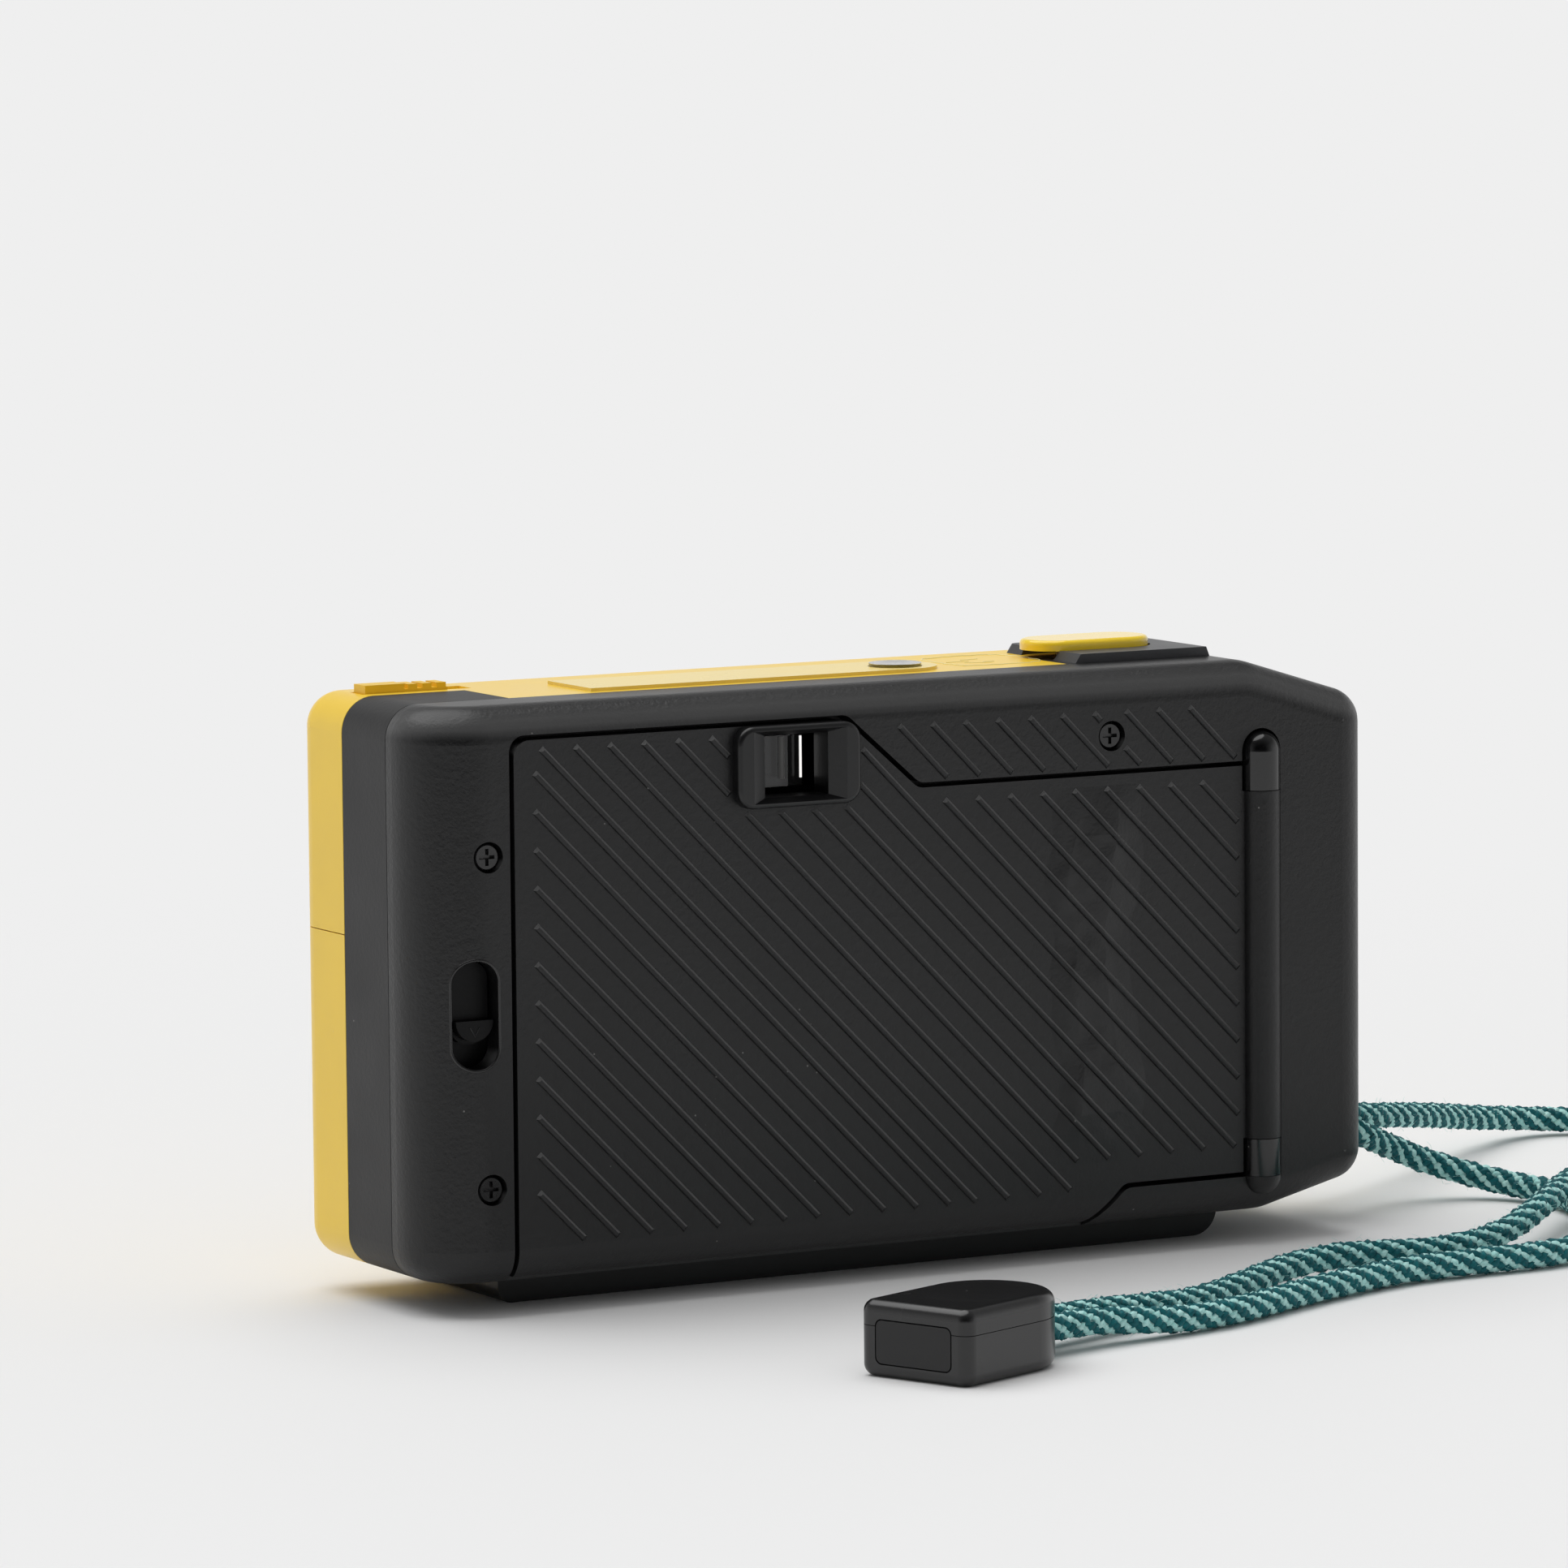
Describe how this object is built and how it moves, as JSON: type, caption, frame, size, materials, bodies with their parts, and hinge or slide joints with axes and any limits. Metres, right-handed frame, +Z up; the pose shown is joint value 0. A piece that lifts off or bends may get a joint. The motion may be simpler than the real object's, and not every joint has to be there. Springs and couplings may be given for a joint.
{
  "type": "compact film camera",
  "caption": "Compact film camera with a ribbed opening back, sliding latch, press button, battery door and a braided wrist strap ending in a fob.",
  "frame": {"origin": "middle of the camera's own footprint, on the surface it stands on", "axes": "+X to the camera's left side seen from the front (left in a view from behind), +Y out of the back, where the film door opens, +Z up"},
  "size_m": [0.2096, 0.1279, 0.0743],
  "materials": {
    "yellow_shell": "satin moulded plastic",
    "band_plastic": "fine matt plastic",
    "frame_plastic": "fine matt plastic",
    "door_plastic": "fine matt plastic, ribbed",
    "gloss_black": "gloss",
    "steel": "plain",
    "chassis_plastic": "matt",
    "lens_glass": "polished",
    "clear_label": "clear moulded plastic",
    "counter_glass": "domed clear plastic",
    "dial_white": "matt",
    "button_yellow": "satin",
    "bezel_grey": "satin",
    "switch_black": "satin",
    "foot_black": "satin",
    "bush_metal": "plain",
    "spring_steel": "plain",
    "plate_black": "satin",
    "screw_black": "blackened steel",
    "cell_wrap": "plain metal jacket",
    "contact_metal": "plain",
    "lens_black": "satin",
    "flash_clear": "ribbed clear plastic",
    "reflector_bright": "bright",
    "capacitor_wrap": "sleeve",
    "board_green": "laminate",
    "spool_plastic": "matt",
    "gear_plastic": "natural",
    "motor_can": "plain",
    "seal_foam": "foam",
    "cord_teal": "braided",
    "fob_black": "satin"
  },
  "bodies": {
    "camera": {"front_shell_upper": "yellow_shell", "front_shell_lower": "yellow_shell", "middle_band": "band_plastic", "rear_frame": "frame_plastic", "hinge_knuckle_upper": "gloss_black", "hinge_knuckle_lower": "gloss_black", "hinge_pin": "steel", "film_chassis": "chassis_plastic", "battery_shelf": "chassis_plastic", "finder_tube": "chassis_plastic", "gear_bridge": "chassis_plastic", "finder_eye_lens": "lens_glass", "finder_front_window": "lens_glass", "lens_front_element": "lens_glass", "lens_rear_element": "lens_glass", "label_plate": "clear_label", "counter_window": "counter_glass", "shutter_bezel": "bezel_grey", "foot_plate": "foot_black", "tripod_bush": "bush_metal", "latch_spring": "spring_steel", "shutter_button_spring": "spring_steel", "shutter_plate": "plate_black", "rear_screws": "screw_black", "strap_lug": "screw_black", "batteries": "cell_wrap", "battery_contacts": "contact_metal", "cassette_contacts": "contact_metal", "lens_surround": "lens_black", "lens_barrel": "lens_black", "flash_window": "flash_clear", "flash_tube": "flash_clear", "flash_reflector": "reflector_bright", "flash_capacitor": "capacitor_wrap", "circuit_board": "board_green", "drive_motor": "motor_can", "light_seals": "seal_foam", "strap_cord_outer": "cord_teal", "strap_cord_inner": "cord_teal", "fob_body": "fob_black", "fob_lid": "fob_black", "fob_end_panel": "fob_black"},
    "film_door": {"film_door": "door_plastic", "eyepiece_frame": "gloss_black", "pressure_spring": "spring_steel"},
    "pressure_plate": {"pressure_plate": "plate_black"},
    "door_latch": {"door_latch": "switch_black"},
    "shutter_button": {"shutter_button": "button_yellow"},
    "flash_switch": {"flash_switch": "switch_black"},
    "battery_door": {"battery_door": "foot_black", "battery_springs": "spring_steel"},
    "take_up_spool": {"take_up_spool": "spool_plastic"},
    "reduction_gear": {"reduction_gear": "gear_plastic"},
    "motor_pinion": {"motor_pinion": "gear_plastic"},
    "film_sprocket": {"film_sprocket": "spool_plastic"},
    "frame_counter_dial": {"frame_counter_dial": "dial_white"},
    "rewind_fork": {"rewind_fork": "steel"},
    "shutter_blade_left": {"shutter_blade_left": "plate_black"},
    "shutter_blade_right": {"shutter_blade_right": "plate_black"}
  },
  "joints": [
    {"name": "film_door_hinge", "type": "hinge", "parent": "camera", "child": "film_door", "pos_m": [-0.04915, 0.0183, 0.035], "axis": [0, 0, 1], "range_deg": [0, 110]},
    {"name": "pressure_plate_float", "type": "slide", "parent": "film_door", "child": "pressure_plate", "axis": [0, 1, 0], "range_m": [0, 0.0003], "stiffness_N_per_m": 400, "springref_m": -0.0005},
    {"name": "door_latch_slide", "type": "slide", "parent": "camera", "child": "door_latch", "axis": [0, 0, -1], "range_m": [0, 0.0024], "stiffness_N_per_m": 150, "springref_m": -0.001, "deforming": ["latch_spring"]},
    {"name": "shutter_button_press", "type": "slide", "parent": "camera", "child": "shutter_button", "axis": [0, 0, -1], "range_m": [0, 0.0009], "stiffness_N_per_m": 500, "springref_m": -0.001, "deforming": ["shutter_button_spring"]},
    {"name": "flash_switch_slide", "type": "slide", "parent": "camera", "child": "flash_switch", "axis": [-1, 0, 0], "range_m": [0, 0.003]},
    {"name": "battery_door_hinge", "type": "hinge", "parent": "camera", "child": "battery_door", "pos_m": [-0.05235, 0.0008, 0.0054], "axis": [0, -1, 0], "range_deg": [0, 90]},
    {"name": "take_up_spool_turn", "type": "hinge", "parent": "camera", "child": "take_up_spool", "pos_m": [-0.0372, 0.0053, 0.035], "axis": [0, 0, 1], "continuous": true},
    {"name": "reduction_gear_turn", "type": "hinge", "parent": "camera", "child": "reduction_gear", "pos_m": [-0.0277, -0.0002, 0.063], "axis": [0, 0, 1], "continuous": true},
    {"name": "motor_pinion_turn", "type": "hinge", "parent": "camera", "child": "motor_pinion", "pos_m": [-0.0372, 0.0053, 0.065], "axis": [0, 0, 1], "continuous": true},
    {"name": "film_sprocket_turn", "type": "hinge", "parent": "camera", "child": "film_sprocket", "pos_m": [-0.0215, 0.0095, 0.035], "axis": [0, 0, 1], "continuous": true},
    {"name": "frame_counter_turn", "type": "hinge", "parent": "camera", "child": "frame_counter_dial", "pos_m": [-0.007, -0.0028, 0.0687], "axis": [0, 0, 1], "continuous": true},
    {"name": "rewind_fork_turn", "type": "hinge", "parent": "camera", "child": "rewind_fork", "pos_m": [0.0375, 0.0036, 0.009], "axis": [0, 0, 1], "continuous": true},
    {"name": "shutter_blade_left_swing", "type": "hinge", "parent": "camera", "child": "shutter_blade_left", "pos_m": [-0.004, -0.0086, 0.0403], "axis": [0, 1, 0], "range_deg": [0, 48]},
    {"name": "shutter_blade_right_swing", "type": "hinge", "parent": "camera", "child": "shutter_blade_right", "pos_m": [0.011, -0.0092, 0.0403], "axis": [0, 1, 0], "range_deg": [-48, 0]}
  ],
  "couplings": [
    {"joint": "reduction_gear_turn", "follows": "take_up_spool_turn", "ratio": -3},
    {"joint": "motor_pinion_turn", "follows": "take_up_spool_turn", "ratio": 9},
    {"joint": "frame_counter_turn", "follows": "film_sprocket_turn", "ratio": 0.025},
    {"joint": "shutter_blade_right_swing", "follows": "shutter_blade_left_swing", "ratio": -1}
  ]
}
